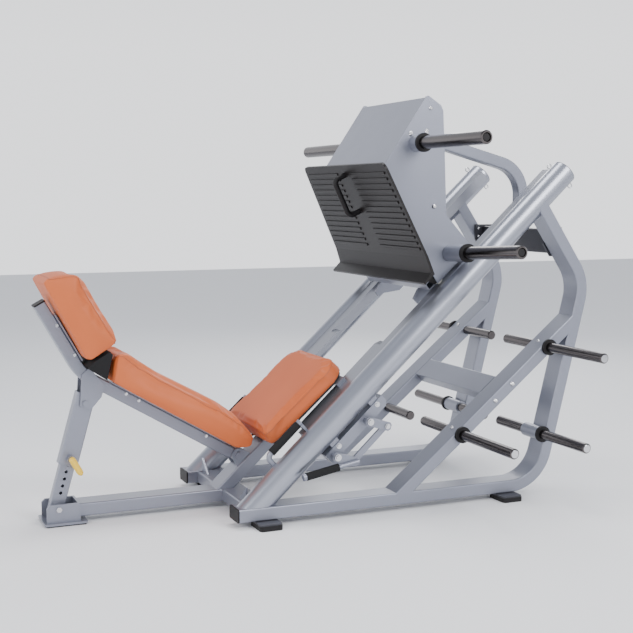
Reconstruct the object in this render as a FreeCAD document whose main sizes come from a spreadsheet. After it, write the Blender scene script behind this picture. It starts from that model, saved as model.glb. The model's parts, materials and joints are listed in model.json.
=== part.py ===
import FreeCAD, Part
import math
import os
import Sketcher
from FreeCAD import Placement, Rotation, Vector

# Plate-loaded leg press: an inclined carriage on two guide tubes, a padded seat with a reclining back,
# lever-worked safety stops and horns for weight plates. Lengths are in millimetres.
doc = FreeCAD.newDocument("leg_press")

# ---------------------------------------------------------------- driving dimensions (mm, degrees)
DIMENSIONS = {
    # square and rectangular steel tube
    "tube_wide": 100, "tube_deep": 50, "tube_wall": 3, "tube_corner": 6, "tube_bend": 170,
    "half_track": 325, "base_top": 74, "base_bottom": 24,
    # guide tubes and the tracks on their inner sides
    "guide_dia": 102, "guide_wall": 4, "guide_angle": 42.9, "guide_length": 1817,
    "guide_foot_x": 94, "guide_foot_z": 85, "track_inner": 238, "track_top": 37, "track_low": -5,
    "rail_inner": 190, "rail_thick": 10,
    # plate storage
    "storage_dia": 40, "storage_spigot": 36, "storage_tip": 745, "storage_inner_tip": 60,
    "collar_dia": 66, "collar_thick": 12, "fit_gap": 0.3,
    # seat and back
    "seat_wide": 460, "seat_long": 422, "seat_thick": 64, "board_thick": 8, "seat_angle": 41.4,
    "back_wide": 290, "head_wide": 260, "back_tube": 60, "back_tube_deep": 46,
    # strut under the back
    "sleeve_deep": 72, "sleeve_wide": 54, "post_deep": 56, "post_wide": 40,
    "hole_pitch": 27.3, "hole_dia": 13, "sleeve_start": 161, "sleeve_end": 440,
    # carriage
    "side_inner": 279, "side_thick": 6, "sheet": 4, "roller_dia": 40, "roller_wide": 24,
    "sleeve_dia": 50, "sleeve_root": 44, "boss_dia": 66, "horn_tip": 805, "axle_dia": 12,
    "plate_long": 393, "plate_thick": 10, "plate_half_top": 388, "plate_half_low": 428,
    # safety stop linkage
    "shaft_dia": 20, "pin_dia": 12, "crank_thick": 10, "crank_long": 76,
    # feet
    "foot_pad": 18, "foot_tab": 6,
}

# The machine's middle along X, so that the part's origin is under the centre of its bounding box.
MIDDLE_X = 424.2

sheet = doc.addObject("Spreadsheet::Sheet", "dims")
for row, (alias, number) in enumerate(DIMENSIONS.items(), start=1):
    sheet.set(f"A{row}", alias)
    sheet.set(f"B{row}", str(number))
    sheet.setAlias(f"B{row}", alias)
doc.recompute()


class Size:
    """A number together with the sheet expression that drives it."""

    def __init__(self, value, expression):
        self.value = value
        self.expression = expression

    def combine(self, other, sign, result):
        text = other.expression if isinstance(other, Size) else str(other)
        return Size(result, f"({self.expression} {sign} {text})")

    def __add__(self, other):
        return self.combine(other, "+", self.value + number_of(other))

    def __sub__(self, other):
        return self.combine(other, "-", self.value - number_of(other))

    def __mul__(self, other):
        return self.combine(other, "*", self.value * number_of(other))

    def __truediv__(self, other):
        return self.combine(other, "/", self.value / number_of(other))


def number_of(size):
    return size.value if isinstance(size, Size) else size


def size_of(alias):
    return Size(DIMENSIONS[alias], f"dims.{alias}")


def fixed(number):
    """A plain length that no other piece depends on."""
    return Size(number, f"{number}")


def bind(obj, prop, size):
    if isinstance(size, Size):
        obj.setExpression(prop, size.expression)
    else:
        setattr(obj, prop, size)


# ---------------------------------------------------------------- frames of reference
GUIDE_TILT = DIMENSIONS["guide_angle"]
HALF_TRACK = DIMENSIONS["half_track"]
BASE_MID = (DIMENSIONS["base_top"] + DIMENSIONS["base_bottom"]) / 2
NODES = []
TUBE_CAPS = []


def pitched(x, z, pitch=0.0, y=0.0):
    """Frame at (x, y, z) on the machine, its X axis raised by pitch degrees."""
    return Placement(Vector(x - MIDDLE_X, y, z), Rotation(Vector(0, 1, 0), -pitch))


def outward(x, z, y=0.0, rise=0.0):
    """Frame whose X axis points to the machine's right side (-Y), raised by rise degrees."""
    turn = Rotation(Vector(1, 0, 0), -rise).multiply(Rotation(Vector(0, 0, 1), -90))
    return Placement(Vector(x - MIDDLE_X, -y, z), turn)


GUIDE_FRAME = pitched(DIMENSIONS["guide_foot_x"], DIMENSIONS["guide_foot_z"], GUIDE_TILT)


def guide_point(along, above, y=0.0):
    """Place on the machine of a point given along and square above the guide tubes' axes."""
    return GUIDE_FRAME.multVec(Vector(along, y, above))


def node(obj, label):
    """Name a finished sub-part: its label is its file's name."""
    obj.Label = label
    NODES.append(obj)
    return obj


# ---------------------------------------------------------------- sketches and features
def new_body(name, frame=None):
    body = doc.addObject("PartDesign::Body", name)
    body.Label = f"{name}_body"
    body.Placement = frame or pitched(0, 0)
    return body


def new_sketch(body, role, offset=0.0):
    """Sketch on one of the body's origin planes, lifted by offset along the plane's normal."""
    sketch = body.newObject("Sketcher::SketchObject", "outline")
    plane = next(face for face in body.Origin.OriginFeatures if face.Role == role)
    sketch.AttachmentSupport = [(plane, "")]
    sketch.MapMode = "FlatFace"
    sketch.AttachmentOffset = Placement(Vector(0, 0, offset), Rotation())
    return sketch


def limit(sketch, constraint, size):
    index = sketch.addConstraint(constraint)
    if isinstance(size, Size):
        sketch.setExpression(f"Constraints[{index}]", size.expression)


def draw_polygon(sketch, points):
    count = len(points)
    first = sketch.GeometryCount
    for i, (x, y) in enumerate(points):
        nx, ny = points[(i + 1) % count]
        sketch.addGeometry(Part.LineSegment(Vector(x, y, 0), Vector(nx, ny, 0)), False)
    for i in range(count):
        link = (first + i, 2, first + (i + 1) % count, 1)
        sketch.addConstraint(Sketcher.Constraint("Coincident", *link))


def draw_circle(sketch, diameter, x=0.0, y=0.0):
    circle = Part.Circle(Vector(x, y, 0), Vector(0, 0, 1), number_of(diameter) / 2)
    index = sketch.addGeometry(circle, False)
    limit(sketch, Sketcher.Constraint("Diameter", index, number_of(diameter)), diameter)
    if x == 0 and y == 0:
        sketch.addConstraint(Sketcher.Constraint("Coincident", index, 3, -1, 1))


def draw_rounded(sketch, wide, deep, corner):
    """Rounded rectangle about the sketch's origin, driven by its width, depth and corner radius."""
    half_w, half_d, r = number_of(wide) / 2, number_of(deep) / 2, number_of(corner)
    first = sketch.GeometryCount
    corners = [(half_w, half_d, 0), (-half_w, half_d, 90), (-half_w, -half_d, 180), (half_w, -half_d, 270)]
    arcs = []
    for x, y, start in corners:
        centre = Vector(math.copysign(half_w - r, x), math.copysign(half_d - r, y), 0)
        circle = Part.Circle(centre, Vector(0, 0, 1), r)
        arcs.append(Part.ArcOfCircle(circle, math.radians(start), math.radians(start + 90)))
    for i, arc in enumerate(arcs):
        sketch.addGeometry(arc, False)
        sketch.addGeometry(Part.LineSegment(arc.EndPoint, arcs[(i + 1) % 4].StartPoint), False)
    for i in range(4):
        arc_index, line_index = first + 2 * i, first + 2 * i + 1
        next_arc = first + 2 * ((i + 1) % 4)
        sketch.addConstraint(Sketcher.Constraint("Tangent", arc_index, 2, line_index, 1))
        sketch.addConstraint(Sketcher.Constraint("Tangent", line_index, 2, next_arc, 1))
        direction = "Horizontal" if i % 2 == 0 else "Vertical"
        sketch.addConstraint(Sketcher.Constraint(direction, line_index))
        if i:
            sketch.addConstraint(Sketcher.Constraint("Equal", first, arc_index))
    limit(sketch, Sketcher.Constraint("Radius", first, r), corner)
    sketch.addConstraint(Sketcher.Constraint("Symmetric", first, 3, first + 4, 3, -1, 1))
    across = Sketcher.Constraint("DistanceX", first + 2, 3, first, 3, 2 * (half_w - r))
    upward = Sketcher.Constraint("DistanceY", first + 6, 3, first, 3, 2 * (half_d - r))
    limit(sketch, across, wide - corner * 2)
    limit(sketch, upward, deep - corner * 2)


def pad(body, sketch, length, both_ways=False, backwards=False):
    feature = body.newObject("PartDesign::Pad", "pad")
    feature.Profile = sketch
    feature.SideType = "Symmetric" if both_ways else "One side"
    feature.Reversed = backwards
    bind(feature, "Length", length)
    return feature


def pocket_through(body, sketch):
    """Cut the sketch through the whole body, both ways."""
    feature = body.newObject("PartDesign::Pocket", "pocket")
    feature.Profile = sketch
    feature.SideType = "Symmetric"
    feature.Length = 3000
    return feature


def round_edges(body, radius, wanted):
    """Fillet the edges of the body's last feature for which wanted(edge) is true."""
    doc.recompute()
    base = body.Tip
    names = [f"Edge{i + 1}" for i, edge in enumerate(base.Shape.Edges) if wanted(edge)]
    feature = body.newObject("PartDesign::Fillet", "fillet")
    feature.Base = (base, names)
    bind(feature, "Radius", radius)
    return feature


def slab(name, points, thick, frame=GUIDE_FRAME, side=None):
    """Flat piece with an outline in the frame's XZ plane; side is its distance out from the middle."""
    placed = frame if side is None else frame.multiply(Placement(Vector(0, -side, 0), Rotation()))
    body = new_body(name, placed)
    sketch = new_sketch(body, "XZ_Plane")
    draw_polygon(sketch, points)
    pad(body, sketch, thick, both_ways=side is None)
    return body


def plate_with_holes(name, points, thick, frame, side, holes):
    """A slab with round holes: each hole is its place and its diameter."""
    body = slab(name, points, thick, frame, side)
    sketch = new_sketch(body, "XZ_Plane")
    for x, z, diameter in holes:
        draw_circle(sketch, diameter, x, z)
    pocket_through(body, sketch)
    return body


def spine_edges(sketch, points, radius):
    """Straight runs through the points, joined by tangent arcs; the sketch becomes a sweep's path."""
    here = Vector(*points[0], 0)
    for i in range(1, len(points)):
        corner = Vector(*points[i], 0)
        into = (corner - Vector(*points[i - 1], 0)).normalize()
        if i == len(points) - 1:
            sketch.addGeometry(Part.LineSegment(here, corner), False)
            break
        out = (Vector(*points[i + 1], 0) - corner).normalize()
        turn = into.getAngle(out)
        setback = radius * math.tan(turn / 2)
        start, end = corner - into * setback, corner + out * setback
        middle = corner + (out - into).normalize() * radius * (1 / math.cos(turn / 2) - 1)
        sketch.addGeometry(Part.LineSegment(here, start), False)
        sketch.addGeometry(Part.Arc(start, middle, end), False)
        here = end


def sweep(name, frame, points, radius, draw_section):
    """Sweep a section, drawn on the YZ plane, along a path in the frame's XZ plane from its origin."""
    body = new_body(name, frame)
    path = new_sketch(body, "XZ_Plane")
    spine_edges(path, points, radius)
    section = new_sketch(body, "YZ_Plane")
    draw_section(section)
    doc.recompute()
    feature = body.newObject("PartDesign::AdditivePipe", "sweep")
    feature.Profile = section
    feature.Spine = (path, [f"Edge{i + 1}" for i in range(len(path.Shape.Edges))])
    body.Tip = feature
    return body


def local_path(points):
    """Machine points turned into the frame that starts at the first and heads for the second."""
    (x0, z0), (x1, z1) = points[0], points[1]
    heading = math.atan2(z1 - z0, x1 - x0)
    cos, sin = math.cos(heading), math.sin(heading)
    turned = [((x - x0) * cos + (z - z0) * sin, (z - z0) * cos - (x - x0) * sin) for x, z in points]
    return turned, math.degrees(heading)


def box_tube(name, points, wide, deep, wall, bend=170.0, y=0.0):
    """Rectangular tube through machine points; without a wall it is the tube's solid outside."""
    turned, heading = local_path(points)
    frame = pitched(points[0][0], points[0][1], heading, y)
    corner = size_of("tube_corner")

    def section(sketch):
        draw_rounded(sketch, wide, deep, corner)
        if wall is not None:
            draw_rounded(sketch, wide - wall * 2, deep - wall * 2, corner - wall)

    if len(points) > 2:
        return sweep(name, frame, turned, bend, section)
    body = new_body(name, frame)
    sketch = new_sketch(body, "YZ_Plane")
    section(sketch)
    pad(body, sketch, fixed(round(turned[1][0], 3)))
    return body


def cross_tube(name, x, z, pitch, length, wide, deep):
    """Tube across the machine; wide is its size along the pitch direction."""
    body = new_body(name, pitched(x, z, pitch))
    sketch = new_sketch(body, "XZ_Plane")
    wall, corner = size_of("tube_wall"), size_of("tube_corner")
    draw_rounded(sketch, wide, deep, corner)
    draw_rounded(sketch, wide - wall * 2, deep - wall * 2, corner - wall)
    pad(body, sketch, length, both_ways=True)
    return body


def ring(name, frame, start, length, outside, inside=None):
    """Round bar or ring along the frame's X axis from start."""
    body = new_body(name, frame.multiply(Placement(Vector(start, 0, 0), Rotation())))
    sketch = new_sketch(body, "YZ_Plane")
    draw_circle(sketch, outside)
    if inside is not None:
        draw_circle(sketch, inside)
    pad(body, sketch, length)
    return body


def turned_piece(name, frame, profile):
    """Piece turned about the frame's X axis from an outline of (along, radius) points."""
    body = new_body(name, frame)
    sketch = new_sketch(body, "XZ_Plane")
    draw_polygon(sketch, profile)
    feature = body.newObject("PartDesign::Revolution", "turning")
    feature.Profile = sketch
    feature.ReferenceAxis = (next(f for f in body.Origin.OriginFeatures if f.Role == "X_Axis"), [""])
    feature.Angle = 360
    return body


def cut(name, base, tool):
    obj = doc.addObject("Part::Cut", name)
    obj.Base, obj.Tool = base, tool
    return obj


def fuse(name, pieces):
    obj = doc.addObject("Part::MultiFuse", name)
    obj.Shapes = pieces
    return obj


def mirrored(name, source):
    """The same piece on the machine's other side."""
    obj = doc.addObject("Part::Mirroring", name)
    obj.Source = source
    obj.Normal = Vector(0, 1, 0)
    return obj


def group(label, pieces):
    """Separate solids that share one node."""
    obj = doc.addObject("Part::Compound", label)
    obj.Links = pieces
    return node(obj, label)


def both_sides(label, pieces):
    """A group of right-hand pieces with their mirror images."""
    return group(label, pieces + [mirrored(f"{label}_left_{i}", piece) for i, piece in enumerate(pieces)])


def pair_of_nodes(name, piece):
    """Right and left nodes from one right-hand piece."""
    node(piece, f"right_{name}")
    node(mirrored(f"left_{name}", piece), f"left_{name}")


TUBE = (size_of("tube_wide"), size_of("tube_deep"), size_of("tube_wall"))
GUIDE_DIA = size_of("guide_dia")


# ---------------------------------------------------------------- frame
SIDE_PATH = [(0, BASE_MID), (1300.6, BASE_MID), (1506.2, 873.0), (1288.8, 1195.4)]
DIAGONAL_PATH = [(652.3, BASE_MID), (1468.4, 721.8)]
UPPER_HORN = (1334.0, 611.0)
LOWER_HORN = (934.0, 281.2)
REAR_HORN = (1304.0, 256.0)
MID_CROSS = (1125.0, 438.7)
TOP_CROSS = (1428.0, 1036.0)


def guide_core(start=-60):
    """Solid outside of the right guide tube, used to shape what meets it."""
    frame = GUIDE_FRAME.multiply(Placement(Vector(0, -HALF_TRACK, 0), Rotation()))
    return ring("guide_core", frame, start, size_of("guide_length") - start, GUIDE_DIA)


def build_frame():
    core = guide_core()
    bend = DIMENSIONS["tube_bend"]
    side = box_tube("side_tube_blank", SIDE_PATH, *TUBE, bend=bend, y=-HALF_TRACK)
    envelope = box_tube("side_outside", SIDE_PATH, TUBE[0], TUBE[1], None, bend=bend, y=-HALF_TRACK)
    pair_of_nodes("side_tube", cut("side_tube", side, guide_core(900)))

    diagonal = box_tube("diagonal_blank", DIAGONAL_PATH, *TUBE, y=-HALF_TRACK)
    run = math.dist(*DIAGONAL_PATH)
    reach = DIAGONAL_PATH[1][0] - DIAGONAL_PATH[0][0]
    bores = new_sketch(diagonal, "XZ_Plane")
    for x, _ in (UPPER_HORN, LOWER_HORN):
        along = (x - DIAGONAL_PATH[0][0]) * run / reach
        draw_circle(bores, size_of("storage_spigot") + size_of("fit_gap") * 2, along, 0.0)
    pocket_through(diagonal, bores)
    both_sides("diagonal_tubes", [cut("diagonal_tube", diagonal, envelope)])

    build_guides(core)
    build_cross_members()
    build_arch()
    build_storage(envelope)
    build_feet()


def build_guides(core):
    frame = GUIDE_FRAME.multiply(Placement(Vector(0, -HALF_TRACK, 0), Rotation()))
    wall = size_of("guide_wall")
    lead = 80.0
    length = size_of("guide_length") + lead
    guide = ring("guide_blank", frame, -lead, length, GUIDE_DIA, GUIDE_DIA - wall * 2)
    # The foot is cut level with the top of the base tube.
    drop = DIMENSIONS["guide_foot_z"] - DIMENSIONS["base_top"]
    sin, cos = math.sin(math.radians(GUIDE_TILT)), math.cos(math.radians(GUIDE_TILT))
    margin = 60.0
    foot = new_sketch(guide, "XZ_Plane")
    level_high = (-drop - margin * cos) / sin + lead
    level_low = (-drop + margin * cos) / sin + lead
    draw_polygon(foot, [(level_high, margin), (level_high - lead, margin), (level_high - lead, -margin),
                        (level_low, -margin)])
    pocket_through(guide, foot)
    both_sides("guide_tubes", [guide])

    end = DIMENSIONS["guide_length"]
    radius = DIMENSIONS["guide_dia"] / 2
    cap = turned_piece("guide_cap", frame, [
        (end - 25, 0), (end - 25, radius - 5), (end + 0.2, radius - 5), (end + 0.2, radius),
        (end + 3, radius - 1), (end + 7, radius - 12), (end + 10, radius * 0.4), (end + 11, 0)])
    TUBE_CAPS.append(cap)

    track_low, track_top = DIMENSIONS["track_low"], DIMENSIONS["track_top"]
    bar = slab("track_blank", [(300, track_low), (1790, track_low), (1790, track_top), (300, track_top)],
               fixed(54), side=DIMENSIONS["track_inner"])
    thick = DIMENSIONS["rail_thick"]
    rail = slab("seat_rail", [(330, track_top - thick), (800, track_top - thick), (775, track_top),
                              (330, track_top)],
                size_of("track_inner") - size_of("rail_inner") - 0.2, side=DIMENSIONS["rail_inner"])
    both_sides("guide_tracks", [cut("guide_track", bar, core), rail])


def build_cross_members():
    inner = size_of("half_track") * 2 - size_of("tube_wide")
    wide, deep, _ = TUBE
    front = cross_tube("front_cross_blank", 92, BASE_MID, 0, inner, wide, deep)
    top = DIMENSIONS["base_top"]
    corner_y = HALF_TRACK - DIMENSIONS["tube_wide"] / 2
    webs = []
    for sign in (-1, 1):
        body = new_body("front_web", pitched(60, 0))
        sketch = new_sketch(body, "YZ_Plane")
        draw_polygon(sketch, [(sign * corner_y, top - 1), (sign * (corner_y - 75), top - 1),
                              (sign * corner_y, top + 55)])
        pad(body, sketch, fixed(8))
        webs.append(body)
    node(fuse("front_cross_tube", [front] + webs), "front_cross_tube")

    pitch = math.degrees(math.atan2(DIAGONAL_PATH[1][1] - DIAGONAL_PATH[0][1],
                                    DIAGONAL_PATH[1][0] - DIAGONAL_PATH[0][0]))
    node(cross_tube("mid_cross_tube", *MID_CROSS, pitch, inner, wide, deep), "mid_cross_tube")

    beam = cross_tube("top_cross_blank", *TOP_CROSS, 90, inner - 16, wide, deep)
    flanges = []
    for sign in (-1, 1):
        body = new_body("flange", pitched(*TOP_CROSS, y=sign * (corner_y - 4)))
        sketch = new_sketch(body, "XZ_Plane")
        draw_polygon(sketch, [(-62, 58), (28, 58), (28, -62), (-28, -62), (-62, -10)])
        pad(body, sketch, fixed(8), both_ways=True)
        flanges.append(body)
    node(fuse("top_cross_tube", [beam] + flanges), "top_cross_tube")

    node(box_tube("spine_tube", [(-520, BASE_MID), (42, BASE_MID)], *TUBE), "spine_tube")

    # The seat post starts on the spine's top face and runs parallel to the guide tubes.
    low, high = guide_point(-110, 18), guide_point(525, 18)
    post = box_tube("seat_post_blank", [(low.x + MIDDLE_X, low.z), (high.x + MIDDLE_X, high.z)], *TUBE)
    floor = doc.addObject("Part::Box", "below_base_top")
    bind(floor, "Height", size_of("base_top"))
    floor.Length, floor.Width = 400, 400
    floor.Placement = Placement(Vector(-200 - MIDDLE_X, -200, 0), Rotation())
    node(cut("seat_post", post, floor), "seat_post")


def build_arch():
    x, z = TOP_CROSS
    foot = z + DIMENSIONS["tube_wide"] / 2
    path = [(x, foot), (x, 1335), (985, 1454)]
    arch = box_tube("stop_arch", path, TUBE[1], TUBE[1], TUBE[2], bend=140)
    node(arch, "stop_arch")
    rubber = [(0.2, 0), (0.2, 32), (20, 32), (26, 27), (28, 0)]
    bumper = turned_piece("arch_bumper", pitched(985, 1454, 164.97), rubber)
    node(bumper, "arch_bumper")


def storage_horn(name, x, z, root_in, root_out, tip):
    """Horn for spare plates: a stepped bar whose thin middle sits in the frame."""
    frame = outward(x, z)
    thin = DIMENSIONS["storage_spigot"] / 2
    radius = DIMENSIONS["storage_dia"] / 2
    inner = DIMENSIONS["storage_inner_tip"]
    bevel = 4.0
    return turned_piece(name, frame, [
        (inner, 0), (inner, radius - bevel), (inner + bevel, radius), (root_in, radius), (root_in, thin),
        (root_out, thin), (root_out, radius), (tip - bevel, radius), (tip, radius - bevel), (tip, 0)])


def build_storage(envelope):
    inner_face = HALF_TRACK - DIMENSIONS["tube_wide"] / 2
    outer_face = HALF_TRACK + DIMENSIONS["tube_wide"] / 2
    collar = DIMENSIONS["collar_thick"]
    tip = DIMENSIONS["storage_tip"]
    spigot = size_of("storage_spigot") + size_of("fit_gap") * 2
    horns, collars = [], []
    for name, place, far, face in (("upper", UPPER_HORN, tip, outer_face),
                                   ("lower", LOWER_HORN, tip + 15, outer_face),
                                   ("rear", REAR_HORN, tip - 55, outer_face + 8)):
        root_in = inner_face - (12 if name == "rear" else 0)
        horns.append(storage_horn(f"{name}_storage_horn", *place, root_in, face + collar, far))
        collars.append(ring(f"{name}_collar", outward(*place), face, size_of("collar_thick"),
                            size_of("collar_dia"), spigot))
    both_sides("storage_horns", horns)
    both_sides("storage_collars", collars)
    start = inner_face - 6
    length = fixed(outer_face + 8 - start)
    sleeve = ring("horn_sleeve_blank", outward(*REAR_HORN), start, length, fixed(56), spigot)
    both_sides("horn_sleeves", [cut("horn_sleeve", sleeve, envelope)])


def build_feet():
    pad_high, tab_high = DIMENSIONS["foot_pad"], DIMENSIONS["foot_tab"]
    tabs, pads = [], []
    for x in (105.0, 1165.0 - 25):
        for shape, low, high, inner, outer, store in (
                ("foot_tab", pad_high, tab_high, 285.0, 432.0, tabs),
                ("foot_rubber", 0.0, pad_high - 0.1, 330.0, 436.0, pads)):
            body = new_body(shape, pitched(x, low))
            sketch = new_sketch(body, "XY_Plane")
            draw_polygon(sketch, [(-45, -outer), (45, -outer), (45, -inner), (-45, -inner)])
            pad(body, sketch, fixed(high))
            round_edges(body, fixed(14), lambda edge: abs(edge.tangentAt(edge.FirstParameter).z) > 0.9
                        and edge.CenterOfMass.y < -400)
            store.append(body)
    both_sides("foot_tabs", tabs)
    strip = new_body("bracket_rubber", pitched(-575, 0))
    sketch = new_sketch(strip, "XY_Plane")
    draw_rounded(sketch, fixed(150), fixed(150), fixed(8))
    pad(strip, sketch, fixed(4.9))
    pads_left = [mirrored("foot_rubber_left", piece) for piece in pads]
    group("foot_pads", pads + pads_left + [strip])

    cap = new_body("base_cap", pitched(0, BASE_MID, y=-HALF_TRACK))
    sketch = new_sketch(cap, "YZ_Plane", -6.0)
    draw_rounded(sketch, TUBE[0], TUBE[1], size_of("tube_corner"))
    pad(cap, sketch, fixed(5.9))
    TUBE_CAPS.append(cap)
    both_sides("tube_caps", TUBE_CAPS)


# ---------------------------------------------------------------- seat
SEAT_FRONT = (146.0, 316.0)


def seat_outline(inset):
    """Seat outline from its front edge (X 0) to its rear edge, rear corners well rounded."""
    long = DIMENSIONS["seat_long"] - inset
    half = DIMENSIONS["seat_wide"] / 2 - inset
    return inset, long, half


def seat_slab(name, inset, low, thick):
    body = new_body(name, pitched(*SEAT_FRONT, DIMENSIONS["seat_angle"]))
    start, end, half = seat_outline(inset)
    sketch = new_sketch(body, "XY_Plane", low)
    draw_polygon(sketch, [(start, -half), (end, -half), (end, half), (start, half)])
    pad(body, sketch, thick)
    round_edges(body, fixed(92 - inset), lambda e: abs(upright(e)) > 0.9 and edge_at_rear(e))
    round_edges(body, fixed(25 - inset), lambda e: abs(upright(e)) > 0.9 and not edge_at_rear(e))
    return body


def upright(edge):
    return edge.tangentAt(edge.FirstParameter).z if edge.Curve.TypeId == "Part::GeomLine" else 0.0


def edge_at_rear(edge):
    return edge.CenterOfMass.x > DIMENSIONS["seat_long"] / 2


def build_seat():
    thick, board = DIMENSIONS["seat_thick"], DIMENSIONS["board_thick"]
    node(seat_slab("seat_pad", 0.0, -thick, size_of("seat_thick")), "seat_pad")
    node(seat_slab("seat_board", 14.0, -thick - board - 0.2, size_of("board_thick")), "seat_board")

    # Wedge brackets fill the space between the post or the rails and the board.
    slope = math.tan(math.radians(GUIDE_TILT - DIMENSIONS["seat_angle"]))
    under = pitched(*SEAT_FRONT, DIMENSIONS["seat_angle"]).multVec(Vector(0, 0, -thick - board - 0.4))
    local = GUIDE_FRAME.inverse().multVec(under)

    def board_height(along):
        return local.z - (along - local.x) * slope

    post_top = 18 + DIMENSIONS["tube_deep"] / 2
    low = slab("low_bracket", [(225, post_top), (290, post_top), (290, board_height(290)),
                               (225, board_height(225))], fixed(80))
    rail_top = DIMENSIONS["track_top"]
    high = slab("high_bracket", [(540, rail_top), (582, rail_top), (582, board_height(582)),
                                 (540, board_height(540))], fixed(460))
    group("seat_brackets", [low, high])

    side = 300.0
    handle_frame = GUIDE_FRAME.multiply(Placement(Vector(325, -side, 88), Rotation(Vector(0, 1, 0), 180)))
    bar = sweep("seat_handle_bar", handle_frame, [(0, 0), (186, 0), (186, 62)], 22.0,
                lambda sketch: draw_circle(sketch, fixed(22)))
    end_cap = ring("seat_handle_end", handle_frame, 0, fixed(12), fixed(27))
    strut = new_body("seat_handle_strut", GUIDE_FRAME.multiply(Placement(Vector(319, -283, 0), Rotation())))
    sketch = new_sketch(strut, "XY_Plane", DIMENSIONS["track_top"])
    draw_polygon(sketch, [(-5, -26), (5, -26), (5, 9), (-5, 9)])
    pad(strut, sketch, fixed(44))
    whole = cut("seat_handle", fuse("seat_handle_whole", [bar, end_cap, strut]), guide_core())
    both_sides("seat_handles", [whole])
    grip = ring("seat_handle_grip", handle_frame, 14, fixed(148), fixed(31), fixed(22.4))
    both_sides("seat_handle_grips", [grip])


# ---------------------------------------------------------------- back, reclining about its lower end
PIVOT = (113.0, 201.1)
BACK_TOP = (-646.6, 827.7)
BACK_BEND = (-496.5, 558.5)
BACK_LOW = (110.4, 196.8)
STRUT_FOOT = (-600.0, 62.0)
STRUT_TOP = (-490.0, 452.0)


def unit(start, end):
    length = math.dist(start, end)
    return (end[0] - start[0]) / length, (end[1] - start[1]) / length


def off_line(start, end, along, above):
    """Machine point at a distance along the line from start to end, and square above it."""
    ux, uz = unit(start, end)
    return start[0] + ux * along - uz * above, start[1] + uz * along + ux * above


def build_back():
    wide, deep = size_of("back_tube"), size_of("back_tube_deep")
    half = DIMENSIONS["back_tube_deep"] / 2
    run = math.dist(BACK_BEND, BACK_LOW)
    stop = off_line(BACK_BEND, BACK_LOW, run - 24, 0)
    tube = box_tube("back_tube", [BACK_TOP, BACK_BEND, stop], wide, deep, size_of("tube_wall"), bend=200)
    hub = new_body("pivot_hub", pitched(*PIVOT))
    sketch = new_sketch(hub, "XZ_Plane")
    draw_circle(sketch, fixed(50))
    pad(hub, sketch, wide, both_ways=True)
    bore = new_body("pivot_bore", pitched(*PIVOT))
    sketch = new_sketch(bore, "XZ_Plane")
    draw_circle(sketch, size_of("axle_dia") + 4 + size_of("fit_gap") * 2)
    pad(bore, sketch, fixed(80), both_ways=True)
    node(cut("back_frame", fuse("back_frame_whole", [tube, hub]), bore), "back_frame")

    outline = [(-509, 441), (-468, 426), (-428, 470), (-414, 512), (-470, 585), (-500, 560)]
    ears = [plate_with_holes("strut_ear", outline, fixed(6), pitched(0, 0), side,
                             [(*STRUT_TOP, size_of("axle_dia") + size_of("fit_gap") * 2)])
            for side in (30.1, -36.1)]
    bolt = cross_bolt("strut_top_bolt", *STRUT_TOP, 36.3, size_of("axle_dia"))
    cap = new_body("back_cap", pitched(*BACK_TOP, math.degrees(math.atan2(BACK_BEND[1] - BACK_TOP[1],
                                                                          BACK_BEND[0] - BACK_TOP[0]))))
    sketch = new_sketch(cap, "YZ_Plane", -6.0)
    draw_rounded(sketch, wide, deep, size_of("tube_corner"))
    pad(cap, sketch, fixed(5.9))
    node(cap, "back_frame_cap")

    # Steel straps between the tube and the pads' boards.
    upper_run = math.dist(BACK_TOP, BACK_BEND)
    straps = []
    for start, end, along, length in ((BACK_TOP, BACK_BEND, 60, upper_run - 110),
                                      (BACK_BEND, BACK_LOW, 105, run - 180)):
        x, z = off_line(start, end, along, half + 0.1)
        heading = math.degrees(math.atan2(end[1] - start[1], end[0] - start[0]))
        body = new_body("pad_strap", pitched(x, z, heading))
        sketch = new_sketch(body, "XY_Plane")
        draw_polygon(sketch, [(0, -45), (length, -45), (length, 45), (0, 45)])
        pad(body, sketch, fixed(5))
        straps.append(body)
    group("back_hardware", ears + [bolt] + straps)

    pad_points = [(-405, 540), off_line(BACK_BEND, BACK_LOW, 160, half + 6),
                  off_line(BACK_BEND, BACK_LOW, run - 62, half + 6), (136, 250), (148, 290), (103, 350),
                  (5, 424), (-226, 551), (-301, 602), (-368, 650), (-390, 648)]
    back = slab("back_pad", pad_points, size_of("back_wide"), pitched(0, 0))
    node(back, "back_pad")
    head_points = [(-650, 914), (-641, 930), (-540, 949), (-521, 942), (-379, 692), (-384, 677),
                   (-480, 620), (-498, 626)]
    node(slab("headrest_pad", head_points, size_of("head_wide"), pitched(0, 0)), "headrest_pad")

    build_pivot_bracket()


def cross_bolt(name, x, z, grip, diameter):
    """Bolt across the machine: shank, hexagon head on the right and nut on the left."""
    frame = outward(x, z)
    shank = ring(f"{name}_shank", frame, -grip - 9, fixed(2 * grip + 18), diameter)
    heads = []
    for start in (grip, -grip - 8):
        body = new_body(f"{name}_head", frame.multiply(Placement(Vector(start, 0, 0), Rotation())))
        sketch = new_sketch(body, "YZ_Plane")
        across = number_of(diameter) * 0.92
        corners = [math.radians(60 * k) for k in range(6)]
        draw_polygon(sketch, [(across * math.cos(turn), across * math.sin(turn)) for turn in corners])
        pad(body, sketch, fixed(8))
        heads.append(body)
    return fuse(name, [shank] + heads)


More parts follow.
